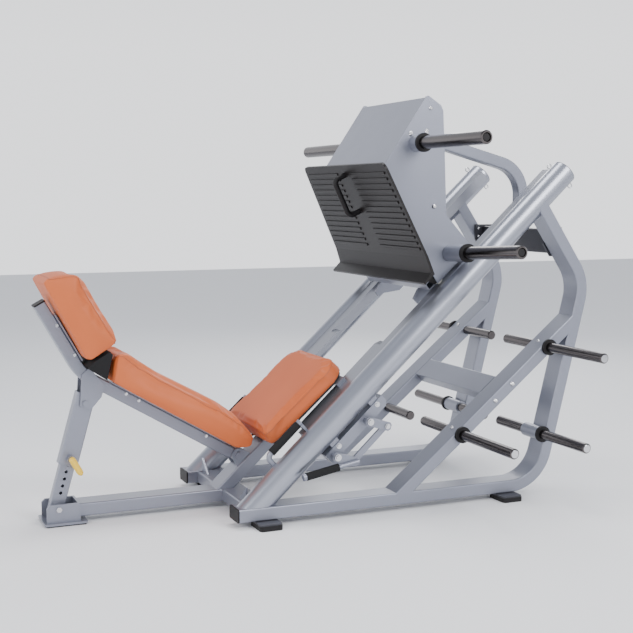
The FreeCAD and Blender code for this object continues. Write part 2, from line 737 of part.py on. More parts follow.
def build_pivot_bracket():
    along = GUIDE_FRAME.inverse().multVec(Vector(PIVOT[0] - MIDDLE_X, 0, PIVOT[1]))
    post_top = 18 + DIMENSIONS["tube_deep"] / 2
    outline = [(along.x - 34, post_top), (along.x + 40, post_top), (along.x + 22, along.z + 18),
               (along.x + 8, along.z + 26), (along.x - 12, along.z + 24), (along.x - 26, along.z + 8)]
    hole = (along.x, along.z, size_of("axle_dia") + 4 + size_of("fit_gap") * 2)
    ears = [plate_with_holes("pivot_ear", outline, fixed(8), GUIDE_FRAME, side, [hole])
            for side in (32.2, -40.2)]
    bolt = cross_bolt("pivot_bolt", *PIVOT, 40.4, size_of("axle_dia") + 4)
    group("pivot_bracket", ears + [bolt])


# ---------------------------------------------------------------- telescoping strut and its floor bracket
def strut_frame(along=0.0):
    x, z = off_line(STRUT_FOOT, STRUT_TOP, along, 0)
    heading = math.degrees(math.atan2(STRUT_TOP[1] - STRUT_FOOT[1], STRUT_TOP[0] - STRUT_FOOT[0]))
    return pitched(x, z, heading)


def build_strut():
    wall = size_of("tube_wall")
    bore = size_of("axle_dia") + size_of("fit_gap") * 2
    post = new_body("strut_post", strut_frame())
    sketch = new_sketch(post, "YZ_Plane", -26.0)
    wide, deep = size_of("post_wide"), size_of("post_deep")
    draw_rounded(sketch, wide, deep, fixed(4))
    draw_rounded(sketch, wide - wall * 2, deep - wall * 2, fixed(2))
    pad(post, sketch, fixed(306))
    holes = new_sketch(post, "XZ_Plane")
    draw_circle(holes, bore)
    for k in range(6):
        draw_circle(holes, size_of("hole_dia"), DIMENSIONS["hole_pitch"] * (k + 2), 0.0)
    pocket_through(post, holes)
    node(post, "strut_post")

    start, end = DIMENSIONS["sleeve_start"], DIMENSIONS["sleeve_end"]
    sleeve = new_body("sleeve_tube", strut_frame(start))
    sketch = new_sketch(sleeve, "YZ_Plane")
    wide, deep = size_of("sleeve_wide"), size_of("sleeve_deep")
    draw_rounded(sketch, wide, deep, size_of("tube_corner"))
    draw_rounded(sketch, wide - wall * 2, deep - wall * 2, size_of("tube_corner") - wall)
    pad(sleeve, sketch, size_of("sleeve_end") - size_of("sleeve_start"))
    reach = math.dist(STRUT_FOOT, STRUT_TOP)
    pin_at = DIMENSIONS["hole_pitch"] * 7
    holes = new_sketch(sleeve, "XZ_Plane")
    draw_circle(holes, size_of("axle_dia") + PIVOT_PLAY * 2, reach - start, 0.0)
    pocket_through(sleeve, holes)
    outer = DIMENSIONS["sleeve_wide"] / 2
    boss_frame = outward(*off_line(STRUT_FOOT, STRUT_TOP, pin_at, 0))
    boss = ring("pin_boss_blank", boss_frame, outer - 1, fixed(22), fixed(27))
    pin_bore = size_of("pin_dia") + size_of("fit_gap") * 2
    channel = ring("pin_channel", boss_frame, outer - 6, fixed(40), pin_bore)
    node(cut("strut_sleeve", fuse("sleeve_whole", [sleeve, boss]), channel), "strut_sleeve")

    nose = DIMENSIONS["post_wide"] / 2 + 0.5
    pin = ring("pin_rod", boss_frame, nose, fixed(79 - nose), size_of("pin_dia"))
    grip_frame = Placement(boss_frame.Base + Vector(0, -73, 0), pitched(0, 0, -60.0).Rotation)
    grip = turned_piece("pin_grip", grip_frame, [
        (-14, 0), (-12, 8), (-6, 12), (6, 12.5), (50, 12.5), (60, 10.5), (66, 5), (67, 0)])
    node(fuse("pull_pin", [pin, grip]), "pull_pin")

    build_floor_bracket(bore)


PIVOT_PLAY = 2.5


def build_floor_bracket(bore):
    base = new_body("bracket_base", pitched(-575, 5))
    sketch = new_sketch(base, "XY_Plane")
    draw_rounded(sketch, fixed(160), fixed(156), fixed(10))
    pad(base, sketch, fixed(8))
    outline = [(-645, 12), (-520, 12), (-520, 80), (-632, 80), (-645, 68)]
    hole = (*STRUT_FOOT, bore)
    cheeks = [plate_with_holes("bracket_cheek", outline, fixed(7), pitched(0, 0), side, [hole])
              for side in (-59, 52)]
    back_wall = slab("bracket_wall", [(-529, 12), (-520.1, 12), (-520.1, 80), (-529, 80)], fixed(118),
                     pitched(0, 0))
    node(fuse("floor_bracket", [base] + cheeks + [back_wall]), "floor_bracket")


# ---------------------------------------------------------------- carriage, along and above the guides
SIDE_OUTLINE = [(1106, 54), (1316, 54), (1317, 229), (1476, 415), (1579, 538), (1586, 560), (1568, 631),
                (1203, 546)]
CAR_UPPER_HORN = (767.0, 1427.0)
CAR_LOWER_HORN = (920.0, 996.0)
PLATE_LOW = (741.0, 990.0)
PLATE_PITCH = 115.5
ROLLERS = {"lower": 1126.0, "upper": 1300.0}
LOW_HORN_RISE = 3.0


def build_carriage():
    inner, thick = size_of("side_inner"), size_of("side_thick")
    side = slab("side_plate", SIDE_OUTLINE, thick, side=DIMENSIONS["side_inner"])
    round_edges(side, fixed(12), lambda e: e.Curve.TypeId == "Part::GeomLine"
                and abs(e.tangentAt(e.FirstParameter).y) > 0.9 and e.CenterOfMass.z > 500
                and e.CenterOfMass.x > 1300)
    pair_of_nodes("side_plate", side)

    # The top panel lies between the side plates, flush with their upper edges.
    (x1, z1), (x0, z0) = SIDE_OUTLINE[-2:]
    ux, uz = unit((x0, z0), (x1, z1))
    sheet_thick = DIMENSIONS["sheet"]
    trim = 14.0
    low, high = (x0 + ux * 2, z0 + uz * 2), (x1 - ux * trim, z1 - uz * trim)
    panel = [low, high, (high[0] + uz * sheet_thick, high[1] - ux * sheet_thick),
             (low[0] + uz * sheet_thick, low[1] - ux * sheet_thick)]
    node(slab("carriage_top_panel", panel, inner * 2 - 0.4), "carriage_top_panel")

    build_foot_plate()
    axles = build_chassis()
    build_carriage_horns()
    build_carriage_bolts(axles)


def plate_frame():
    return pitched(*PLATE_LOW, PLATE_PITCH)


def build_foot_plate():
    long, thick = DIMENSIONS["plate_long"], DIMENSIONS["plate_thick"]
    body = new_body("foot_plate_blank", plate_frame())
    sketch = new_sketch(body, "XZ_Plane")
    draw_polygon(sketch, [(long, 0), (0, 0), (-64, 7), (-82, 53), (-91, 50), (-73, -4), (-1, -thick),
                          (long, -thick)])
    pad(body, sketch, size_of("plate_half_low") * 2, both_ways=True)
    trim = new_body("foot_plate_outline", plate_frame())
    outline = new_sketch(trim, "XY_Plane", -20.0)
    top, low = DIMENSIONS["plate_half_top"], DIMENSIONS["plate_half_low"]
    draw_polygon(outline, [(-100, -low), (long, -top), (long, top), (-100, low)])
    pad(trim, outline, fixed(90))
    round_edges(trim, fixed(26), lambda e: e.Curve.TypeId == "Part::GeomLine"
                and abs(e.tangentAt(e.FirstParameter).z) > 0.9 and e.CenterOfMass.x > 200)
    common = doc.addObject("Part::Common", "foot_plate")
    common.Base, common.Tool = body, trim
    node(common, "foot_plate")

    outline = [(1150, 376), (1102.5, 222), (1077, 152), (1066, 132), (1098, 57), (1122, 57), (1168, 300)]
    gusset = slab("gusset", outline, fixed(7), side=DIMENSIONS["side_inner"] - 7.2)
    both_sides("foot_plate_gussets", [gusset])

    grab_frame = plate_frame().multiply(Placement(Vector(350, 0, 0.2), Rotation(Vector(0, 1, 0), -90)))
    reach, span = 52.0, 160.0
    grab = sweep("foot_plate_handle", grab_frame, [(0, 0), (reach, 0), (reach, span), (0, span)], 22.0,
                 lambda section: draw_circle(section, fixed(22)))
    node(grab, "foot_plate_handle")


def build_chassis():
    across = size_of("side_inner") * 2 - 0.4
    front = cross_bar("front_bar", 1084, 69, 34, 30, across - 15)
    rear = cross_bar("rear_bar", 1270, 95, 40, 30, across)
    brace_at = GUIDE_FRAME.inverse().multVec(Vector(857 - MIDDLE_X, 0, 1392))
    brace = cross_bar("back_brace", brace_at.x, brace_at.z, 40, 60, across, -GUIDE_TILT)
    group("carriage_cross_bars", [front, rear, brace])

    outline = [(1022, 12), (1045, 12), (1110, -34), (1336, -34), (1336, 79.6), (1104, 79.6), (1104, 53.6),
               (1062, 53.6), (1022, 40)]
    axle = size_of("axle_dia") + size_of("fit_gap") * 2
    roller_z = DIMENSIONS["track_top"] + DIMENSIONS["roller_dia"] / 2 + 0.3
    bracket = plate_with_holes("roller_bracket", outline, fixed(12), GUIDE_FRAME, 168.0,
                               [(x, roller_z, axle) for x in ROLLERS.values()])
    both_sides("roller_brackets", [bracket])

    shoes, axles = [], []
    for name, x in ROLLERS.items():
        shoe_x = max(x, 1142)
        shoes.append(slab("keeper_shoe", [(shoe_x - 30, -32), (shoe_x + 30, -32), (shoe_x + 30, -7),
                                          (shoe_x - 30, -7)], fixed(84), side=180.2))
        frame = GUIDE_FRAME.multiply(Placement(Vector(x, 0, roller_z), outward(0, 0).Rotation))
        axles.append(turned_piece("roller_axle", frame, axle_profile()))
        gap = size_of("fit_gap") * 0.5
        body = ring("roller", frame, 241, size_of("roller_wide"), size_of("roller_dia"),
                    size_of("axle_dia") + gap)
        round_edges(body, fixed(2), lambda e: e.Curve.TypeId == "Part::GeomCircle" and e.Curve.Radius > 15)
        pair_of_nodes(f"{name}_roller", body)
    both_sides("keeper_shoes", shoes)
    return axles


def axle_profile():
    radius = DIMENSIONS["axle_dia"] / 2
    head, collar = radius + 4, radius + 5
    return [(160, 0), (160, head), (167.8, head), (167.8, radius), (181, radius), (181, collar),
            (240, collar), (240, radius), (266, radius), (266, head), (271, head), (271, 0)]


def cross_bar(name, along, above, wide, deep, length, turn=0.0):
    """Box section across the carriage."""
    place = Placement(Vector(along, 0, above), Rotation(Vector(0, 1, 0), -turn))
    body = new_body(name, GUIDE_FRAME.multiply(place))
    sketch = new_sketch(body, "XZ_Plane")
    draw_rounded(sketch, fixed(wide), fixed(deep), fixed(4))
    draw_rounded(sketch, fixed(wide - 6), fixed(deep - 6), fixed(2))
    pad(body, sketch, length, both_ways=True)
    return body


def build_carriage_horns():
    face = DIMENSIONS["side_inner"] + DIMENSIONS["side_thick"]
    collar = DIMENSIONS["collar_thick"]
    tip, radius, root = DIMENSIONS["horn_tip"], DIMENSIONS["sleeve_dia"] / 2, DIMENSIONS["sleeve_root"] / 2
    gap = size_of("fit_gap") * 2
    horns, bosses, collars = [], [], []
    for name, place, boss_end, rise in (("upper", CAR_UPPER_HORN, 340.0, 0.0),
                                        ("lower", CAR_LOWER_HORN, 420.0, LOW_HORN_RISE)):
        frame = outward(place[0], place[1], y=face, rise=rise)
        start = face + (1.4 if rise else 0.2)
        boss_out, far = boss_end - face, tip - face
        root_end = boss_out + collar
        horn = turned_piece(f"{name}_horn", frame, [
            (start - face, 0), (start - face, root), (root_end, root), (root_end, radius),
            (far - 4, radius), (far, radius - 4), (far, radius - 8), (far - 6, radius - 10), (far - 6, 0)])
        horns.append(horn)
        spigot = size_of("sleeve_root") + gap
        tube_start = start - face + (1.8 if rise else 0)
        length = fixed(boss_out - tube_start)
        bosses.append(ring(f"{name}_boss", frame, tube_start, length, size_of("boss_dia"), spigot))
        collars.append(ring(f"{name}_horn_collar", frame, boss_out + 0.1, size_of("collar_thick") - 0.2,
                            size_of("boss_dia") + 7, spigot))
    both_sides("carriage_horns", horns)
    both_sides("horn_bosses", bosses)
    both_sides("carriage_collars", collars)


def button_bolt(name, frame, start, diameter, high):
    """Low domed bolt head lying on a face, turned about the frame's X axis."""
    r = diameter / 2
    return turned_piece(name, frame, [
        (start, 0), (start, r), (start + high * 0.35, r), (start + high * 0.8, r * 0.72),
        (start + high, r * 0.35), (start + high, 0)])


def build_carriage_bolts(axles):
    face = DIMENSIONS["side_inner"] + DIMENSIONS["side_thick"] + 0.1
    places = [(1544, 583, 16), (1315 - 16, 321 - 30, 20), (1410, 566, 14), (1474, 530, 14)]
    bolts = []
    for along, above, diameter in places:
        frame = GUIDE_FRAME.multiply(Placement(Vector(along, 0, above), outward(0, 0).Rotation))
        frame = Placement(frame.Base, outward(0, 0).Rotation)
        bolts.append(button_bolt("carriage_bolt", frame, face, diameter, diameter * 0.4))
    both_sides("carriage_bolts", bolts + axles)


# ---------------------------------------------------------------- safety stops, one linkage on each side
UPPER_SHAFT = (507.0, -88.0)
LOWER_SHAFT = (322.0, -88.0)
CRANK_ANGLE = -60.0
BRACKET_SIDE = 305.0
LINK_SIDE = 364.0
CRANK_SIDE = 376.0
LEVER_SIDE = 394.0
GRIP_END = (171.0, -34.0)


def crank_pin(shaft):
    angle = math.radians(CRANK_ANGLE)
    long = DIMENSIONS["crank_long"]
    return shaft[0] + long * math.cos(angle), shaft[1] + long * math.sin(angle)


def arm_outline(start, end, half):
    """Long plate with chamfered ends around two points."""
    ux, uz = unit(start, end)
    run = math.dist(start, end)
    return [(start[0] + ux * x - uz * z, start[1] + uz * x + ux * z) for x, z in (
        (-half, -half / 2), (-half / 2, -half), (run + half / 2, -half), (run + half, -half / 2),
        (run + half, half / 2), (run + half / 2, half), (-half / 2, half), (-half, half / 2))]


def shaft_frame(place):
    return Placement(guide_point(*place), outward(0, 0).Rotation)


def build_stops():
    bar = slab("stop_bar", [(298, -110), (605, -110), (620, -95), (620, -66), (298, -66)], fixed(40),
               side=BRACKET_SIDE)
    hangers = [slab("stop_hanger", [(x, -70), (x + 40, -70), (x + 40, -30), (x, -30)], fixed(30),
                    side=BRACKET_SIDE + 5) for x in (340, 560)]
    shaft, gap = size_of("shaft_dia"), size_of("fit_gap") * 2
    blank = cut("stop_bracket_blank", fuse("stop_bracket_whole", [bar] + hangers), guide_core())
    for index, place in enumerate((UPPER_SHAFT, LOWER_SHAFT)):
        bore = ring("shaft_bore", shaft_frame(place), BRACKET_SIDE - 5, fixed(50), shaft + gap)
        blank = cut(f"stop_bracket_bored_{index}", blank, bore)
    both_sides("stop_brackets", [blank])

    crank_outer = CRANK_SIDE + DIMENSIONS["crank_thick"]
    cranks = {}
    for name, place, inner in (("stop_arm", UPPER_SHAFT, 166.0), ("stop_lever", LOWER_SHAFT, 300.0)):
        pin = crank_pin(place)
        crank = arm_outline(place, pin, 17)
        pin_start = LINK_SIDE - 2
        pieces = [
            slab(f"{name}_crank", crank, size_of("crank_thick"), side=CRANK_SIDE),
            ring(f"{name}_shaft", shaft_frame(place), inner, fixed(crank_outer + 4 - inner), shaft),
            ring(f"{name}_pin", shaft_frame(pin), pin_start, fixed(crank_outer + 3 - pin_start),
                 size_of("pin_dia"))]
        cranks[name] = pieces
    tip = (622.0, 22.0)
    outline = arm_outline(UPPER_SHAFT, (tip[0] - 12, tip[1] - 12), 14)
    finger = slab("stop_finger", outline, fixed(16), side=166.0)
    pair_of_nodes("stop_arm", fuse("stop_arm", cranks["stop_arm"] + [finger]))

    pin = crank_pin(LOWER_SHAFT)
    run = math.dist(pin, GRIP_END)
    heading = math.degrees(math.atan2(GRIP_END[1] - pin[1], GRIP_END[0] - pin[0]))
    rod_frame = GUIDE_FRAME.multiply(Placement(Vector(pin[0], -LEVER_SIDE, pin[1]),
                                               Rotation(Vector(0, 1, 0), -heading)))
    rod = ring("lever_rod", rod_frame, -12, fixed(round(run + 8, 3)), fixed(18))
    end_cap = ring("lever_end", rod_frame, round(run - 14, 3), fixed(12), fixed(27))
    pair_of_nodes("stop_lever", fuse("stop_lever", cranks["stop_lever"] + [rod, end_cap]))
    grip = ring("lever_grip", rod_frame, round(run - 150, 3), fixed(134), fixed(30), fixed(18.4))
    pair_of_nodes("lever_grip", grip)

    high_pin = crank_pin(UPPER_SHAFT)
    hole = size_of("pin_dia") + gap
    link = plate_with_holes("stop_link", arm_outline(pin, high_pin, 12), fixed(10), GUIDE_FRAME, LINK_SIDE,
                            [(*pin, hole), (*high_pin, hole)])
    pair_of_nodes("stop_link", link)


# ---------------------------------------------------------------- bolts and eyelets on the frame
def build_frame_bolts():
    face = HALF_TRACK + DIMENSIONS["tube_wide"] / 2 + 0.1
    bolts = []
    along = unit(*DIAGONAL_PATH)
    for distance in (-50.0, 50.0):
        frame = outward(MID_CROSS[0] + along[0] * distance, MID_CROSS[1] + along[1] * distance)
        bolts.append(button_bolt("cross_bolt", frame, face, 20, 9))
    normal = Rotation(Vector(0, 1, 0), -math.degrees(math.atan2(along[0], -along[1])))
    for place in (UPPER_HORN, LOWER_HORN):
        lift = DIMENSIONS["tube_deep"] / 2 + 0.1
        x, z = place[0] - along[1] * lift, place[1] + along[0] * lift
        frame = Placement(Vector(x - MIDDLE_X, -HALF_TRACK, z), normal)
        bolts.append(button_bolt("set_screw", frame, 0, 16, 8))
    inner = HALF_TRACK - DIMENSIONS["tube_wide"] / 2 - 8.1
    for dx, dz in ((-46, 40), (-46, 5), (-40, -25)):
        frame = Placement(Vector(TOP_CROSS[0] + dx - MIDDLE_X, -inner, TOP_CROSS[1] + dz),
                          Rotation(Vector(0, 0, 1), 90))
        bolts.append(button_bolt("flange_bolt", frame, 0, 14, 7))
    for along_rail, above, turn in ((1778, 51.2, 0.0), (1800, -51.2, 180.0)):
        place = Placement(Vector(along_rail, -HALF_TRACK, above), Rotation(Vector(1, 0, 0), turn))
        frame = GUIDE_FRAME.multiply(place)
        eyelet = doc.addObject("Part::Torus", "eyelet")
        eyelet.Radius1, eyelet.Radius2 = 9, 2.5
        eyelet.Placement = frame.multiply(Placement(Vector(0, 0, 11.5), Rotation(Vector(1, 0, 0), 90)))
        bolts.append(eyelet)
    foot_bolt = cross_bolt("strut_foot_bolt", *STRUT_FOOT, 59.3, size_of("axle_dia"))
    collars = [ring("foot_spacer", outward(*STRUT_FOOT), start, fixed(29), fixed(26), fixed(13))
               for start in (-51.5, 22.5)]
    right = bolts
    left = [mirrored("frame_bolt_left", piece) for piece in right]
    group("frame_bolts", right + left + [foot_bolt] + collars)


def check_and_export():
    doc.recompute()
    for obj in doc.Objects:
        if "Invalid" in obj.State or "Error" in obj.State:
            raise RuntimeError(f"{obj.Name} ({obj.Label}) failed: {obj.State}")
    labels = [obj.Label for obj in NODES]
    if len(set(labels)) != len(labels) or len(labels) > 60:
        raise RuntimeError(f"{len(labels)} sub-parts, or a repeated name")
    for obj in NODES:
        if obj.Shape.isNull() or not obj.Shape.isValid() or not obj.Shape.Solids:
            raise RuntimeError(f"{obj.Label} has no valid solid")
    os.makedirs("parts", exist_ok=True)
    whole = FreeCAD.BoundBox()
    for obj in NODES:
        obj.Shape.exportStep(f"parts/{obj.Label}.step")
        whole.add(obj.Shape.BoundBox)
    print(f"{len(NODES)} nodes; box X {whole.XMin:.1f} {whole.XMax:.1f} Y {whole.YMin:.1f} {whole.YMax:.1f}"
          f" Z {whole.ZMin:.1f} {whole.ZMax:.1f}")


build_frame()
build_seat()
build_back()
build_strut()
build_carriage()
build_stops()
build_frame_bolts()
check_and_export()
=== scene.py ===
import json
import math

import bmesh
import bpy
from mathutils import Matrix, Vector
from mathutils.bvhtree import BVHTree


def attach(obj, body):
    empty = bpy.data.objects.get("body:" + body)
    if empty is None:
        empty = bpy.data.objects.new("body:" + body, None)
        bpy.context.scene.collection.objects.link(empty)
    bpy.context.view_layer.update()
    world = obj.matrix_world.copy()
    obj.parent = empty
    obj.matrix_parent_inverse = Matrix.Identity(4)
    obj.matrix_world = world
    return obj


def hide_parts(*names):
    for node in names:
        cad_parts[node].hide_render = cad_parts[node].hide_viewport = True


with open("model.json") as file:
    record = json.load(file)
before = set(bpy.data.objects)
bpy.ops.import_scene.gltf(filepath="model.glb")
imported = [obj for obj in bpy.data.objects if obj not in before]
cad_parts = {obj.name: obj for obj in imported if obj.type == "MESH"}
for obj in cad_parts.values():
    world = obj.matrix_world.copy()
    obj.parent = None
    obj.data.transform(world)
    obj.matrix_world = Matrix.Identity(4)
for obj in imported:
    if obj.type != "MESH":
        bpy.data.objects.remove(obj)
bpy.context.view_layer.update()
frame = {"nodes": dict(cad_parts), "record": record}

nodes = frame["nodes"]
scene = bpy.context.scene

# Machine coordinates start at the front ends of the base tubes; the origin lies this far behind them.
ORIGIN_X = 0.4242

# Values shared with the CAD: slopes in degrees, the guides' foot and length in millimetres.
SEAT_PITCH = 41.4
BACK_PITCH = -30.8
HEAD_PITCH = -60.8
GUIDE_TILT = math.radians(42.9)
GUIDE_FOOT = (94, 85)
GUIDE_LENGTH = 1817
GUIDE_SIDE = 325
HORN_RISE = math.radians(3.0)
BACK_TOP, BACK_BEND, BACK_LOW = (-0.6466, 0.8277), (-0.4965, 0.5585), (0.1104, 0.1968)

BOTH_SIDES = (-1, 1)


# ---------------------------------------------------------------- materials
BUMP_DETAIL = 4.0
RAMP_STOPS = (0.3, 0.7)


def material(name, colour, metallic=0.0, rough=0.5, coat=0.0, coat_rough=0.1, specular=0.5):
    mat = bpy.data.materials.new(name)
    mat.use_nodes = True
    shader = mat.node_tree.nodes["Principled BSDF"]
    shader.inputs["Base Color"].default_value = (*colour, 1)
    shader.inputs["Metallic"].default_value = metallic
    shader.inputs["Roughness"].default_value = rough
    shader.inputs["Coat Weight"].default_value = coat
    shader.inputs["Coat Roughness"].default_value = coat_rough
    shader.inputs["Specular IOR Level"].default_value = specular
    return mat


def object_noise(mat, scale, stretch=(1, 1, 1)):
    """Noise in object space; returns the material's node tree and the noise node."""
    tree = mat.node_tree
    where = tree.nodes.new("ShaderNodeTexCoord")
    mapping = tree.nodes.new("ShaderNodeMapping")
    mapping.inputs["Scale"].default_value = stretch
    noise = tree.nodes.new("ShaderNodeTexNoise")
    noise.inputs["Scale"].default_value = scale
    tree.links.new(where.outputs["Object"], mapping.inputs["Vector"])
    tree.links.new(mapping.outputs["Vector"], noise.inputs["Vector"])
    return tree, noise


def add_bump(mat, scale, strength, distance):
    """Fine surface relief."""
    tree, noise = object_noise(mat, scale)
    noise.inputs["Detail"].default_value = BUMP_DETAIL
    bump = tree.nodes.new("ShaderNodeBump")
    bump.inputs["Strength"].default_value = strength
    bump.inputs["Distance"].default_value = distance
    tree.links.new(noise.outputs[0], bump.inputs["Height"])
    tree.links.new(bump.outputs["Normal"], tree.nodes["Principled BSDF"].inputs["Normal"])


def vary_roughness(mat, scale, low, high, stretch=(1, 1, 1)):
    """Gloss that changes slightly over the surface."""
    tree, noise = object_noise(mat, scale, stretch)
    spread = tree.nodes.new("ShaderNodeMapRange")
    spread.inputs["To Min"].default_value = low
    spread.inputs["To Max"].default_value = high
    tree.links.new(noise.outputs[0], spread.inputs["Value"])
    tree.links.new(spread.outputs["Result"], tree.nodes["Principled BSDF"].inputs["Roughness"])


def vary_colour(mat, scale, first, second):
    """Colour that drifts between two shades over the surface."""
    tree, noise = object_noise(mat, scale)
    ramp = tree.nodes.new("ShaderNodeValToRGB")
    for stop, position, colour in zip(ramp.color_ramp.elements, RAMP_STOPS, (first, second)):
        stop.position = position
        stop.color = (*colour, 1)
    tree.links.new(noise.outputs[0], ramp.inputs["Fac"])
    tree.links.new(ramp.outputs["Color"], tree.nodes["Principled BSDF"].inputs["Base Color"])


paint = material("silver_paint", (0.25, 0.262, 0.315), metallic=0.6, rough=0.36, coat=0.2, coat_rough=0.16)
vary_roughness(paint, 9.0, 0.32, 0.42)
bright = material("bright_paint", (0.34, 0.355, 0.41), metallic=0.8, rough=0.3, coat=0.25, coat_rough=0.12)
vary_roughness(bright, 6.0, 0.27, 0.34)
dark_paint = material("dark_paint", (0.05, 0.05, 0.06), metallic=0.5, rough=0.4, coat=0.2)
# The base colour is far darker than bare steel: a painted dark reflection, standing in for the dark
# surroundings that these polished parts mirror.
polished = material("polished_steel", (0.105, 0.095, 0.095), metallic=1.0, rough=0.22)
vary_roughness(polished, 60.0, 0.17, 0.28, (1, 6, 1))
chrome = material("chrome", (0.62, 0.62, 0.64), metallic=1.0, rough=0.14)
track_steel = material("track_steel", (0.30, 0.31, 0.35), metallic=0.8, rough=0.3)
rubber = material("rubber", (0.008, 0.007, 0.008), rough=0.55, specular=0.3)
add_bump(rubber, 420.0, 0.12, 0.0006)
foam = material("foam", (0.012, 0.012, 0.013), rough=0.85, specular=0.25)
add_bump(foam, 700.0, 0.35, 0.0008)
plate_black = material("plate_black", (0.006, 0.0045, 0.005), rough=0.4, specular=0.28)
add_bump(plate_black, 260.0, 0.1, 0.0006)
board = material("board", (0.012, 0.012, 0.012), rough=0.6)
vinyl = material("vinyl", (0.54, 0.122, 0.036), rough=0.5, specular=0.28)
vary_colour(vinyl, 3.0, (0.51, 0.11, 0.031), (0.57, 0.135, 0.042))
add_bump(vinyl, 520.0, 0.16, 0.0005)
welt = material("welt", (0.40, 0.095, 0.03), rough=0.5)
nylon = material("nylon", (0.72, 0.71, 0.66), rough=0.45)
yellow = material("yellow", (0.86, 0.55, 0.03), rough=0.3, coat=0.4)

BY_SLOT = {
    "frame_paint": paint, "bright_tube": bright, "polished_steel": polished, "black_rubber": rubber,
    "black_foam": foam, "vinyl": vinyl, "board": board, "nylon": nylon, "bolt_steel": chrome,
    "yellow_grip": yellow,
}
# Nodes that look different from the rest of their slot.
BY_NODE = {
    "guide_tracks": track_steel, "top_cross_tube": dark_paint, "foot_plate": plate_black,
    "strut_post": paint, "foot_plate_handle": rubber, "foot_plate_gussets": plate_black,
    "foot_tabs": dark_paint,
}


def dress(obj, mat):
    obj.data.materials.clear()
    obj.data.materials.append(mat)


record_slots = {part["node"]: part["material_slot"] for part in frame["record"]["subparts"]}
for name, obj in nodes.items():
    dress(obj, BY_NODE.get(name, BY_SLOT[record_slots[name]]))


# ---------------------------------------------------------------- helpers
def link(obj, mat=None):
    scene.collection.objects.link(obj)
    if mat is not None:
        dress(obj, mat)
    return obj


def placed(x, z, pitch, y=0.0):
    """Frame at a machine point in metres, its X axis raised by pitch degrees."""
    return Matrix.Translation((x - ORIGIN_X, y, z)) @ Matrix.Rotation(math.radians(-pitch), 4, "Y")


def soft_box(bm, matrix, low, high, bevel):
    """Adds a box with rounded edges between two corners in the matrix's frame."""
    made = bmesh.ops.create_cube(bm, size=1.0)
    size = [high[i] - low[i] for i in range(3)]
    middle = [(high[i] + low[i]) / 2 for i in range(3)]
    where = matrix @ Matrix.Translation(middle) @ Matrix.Diagonal((*size, 1))
    bmesh.ops.transform(bm, matrix=where, verts=made["verts"])
    edges = {edge for vert in made["verts"] for edge in vert.link_edges}
    bmesh.ops.bevel(bm, geom=list(edges), offset=bevel, segments=2, affect="EDGES", profile=0.5)


def mesh_object(name, bm, mat, smooth=True):
    """Object made of a bmesh, which is freed."""
    mesh = bpy.data.meshes.new(name)
    bm.to_mesh(mesh)
    bm.free()
    obj = link(bpy.data.objects.new(name, mesh), mat)
    if smooth:
        mesh.shade_smooth()
    return obj


def evaluated_mesh(obj):
    """The object's mesh with its modifiers applied."""
    deps = bpy.context.evaluated_depsgraph_get()
    deps.update()
    return bpy.data.meshes.new_from_object(obj.evaluated_get(deps))


# ---------------------------------------------------------------- pads
VOXEL = 0.0065
PAD_INSET = 0.004
HELD_FACING = 0.85
PRESSURE = 4.0
SIMULATED_FRAMES = 20


def start_pad(node, name, down, cap):
    """Copies a pad's CAD shape, remeshes it and draws it in slightly, ready to be blown up as cloth.

    The side that faces down lies on its board, so it is held; cap is how far a point may swell."""
    obj = link(bpy.data.objects.new(name, nodes[node].data.copy()), vinyl)
    remesh = obj.modifiers.new("remesh", "REMESH")
    remesh.mode = "VOXEL"
    remesh.voxel_size = VOXEL
    obj.data = evaluated_mesh(obj)
    obj.modifiers.clear()
    dress(obj, vinyl)
    mesh = obj.data
    rest = [v.co.copy() for v in mesh.vertices]
    normals = [v.normal.copy() for v in mesh.vertices]
    group = obj.vertex_groups.new(name="held")
    for i, vert in enumerate(mesh.vertices):
        if normals[i].dot(down) > HELD_FACING:
            group.add([i], 1.0, "REPLACE")
        else:
            vert.co = rest[i] - normals[i] * PAD_INSET
    soften = obj.modifiers.new("soften", "SMOOTH")
    soften.factor = 0.5
    soften.iterations = 10
    obj.data = evaluated_mesh(obj)
    obj.modifiers.clear()
    start = [v.co.copy() for v in obj.data.vertices]
    return {"obj": obj, "node": node, "start": start, "cap": cap}


def inflate(pads):
    """Runs one short cloth simulation with inner pressure for all the pads together."""
    for item in pads:
        cloth = item["obj"].modifiers.new("cloth", "CLOTH")
        settings = cloth.settings
        settings.use_pressure = True
        settings.uniform_pressure_force = PRESSURE
        settings.vertex_group_mass = "held"
        settings.effector_weights.gravity = 0.0
        settings.quality = 4
        settings.tension_stiffness = 30
        settings.compression_stiffness = 30
        settings.shear_stiffness = 15
        settings.bending_stiffness = 2
        cloth.point_cache.frame_start = 1
        cloth.point_cache.frame_end = SIMULATED_FRAMES
    for number in range(1, SIMULATED_FRAMES + 1):
        scene.frame_set(number)
    swollen = [evaluated_mesh(item["obj"]) for item in pads]
    for item, mesh in zip(pads, swollen):
        for vert, home in zip(mesh.vertices, item["start"]):
            move = vert.co - home
            if move.length > item["cap"]:
                vert.co = home + move.normalized() * item["cap"]
        item["obj"].modifiers.clear()
        item["obj"].data = mesh
    scene.frame_set(1)


def finish_pad(item):
    """Evens out a blown-up pad and subdivides it once."""
    obj = item["obj"]
    smooth = obj.modifiers.new("even", "SMOOTH")
    smooth.factor = 0.4
    smooth.iterations = 4
    fine = obj.modifiers.new("fine", "SUBSURF")
    fine.levels = 1
    fine.render_levels = 1
    obj.data = evaluated_mesh(obj)
    obj.modifiers.clear()
    dress(obj, vinyl)
    obj.data.shade_smooth()
    return obj


def downward(pitch):
    """The direction straight into a pad whose length slopes by pitch degrees."""
    angle = math.radians(pitch + 90)
    return -Vector((math.cos(angle), 0, math.sin(angle)))


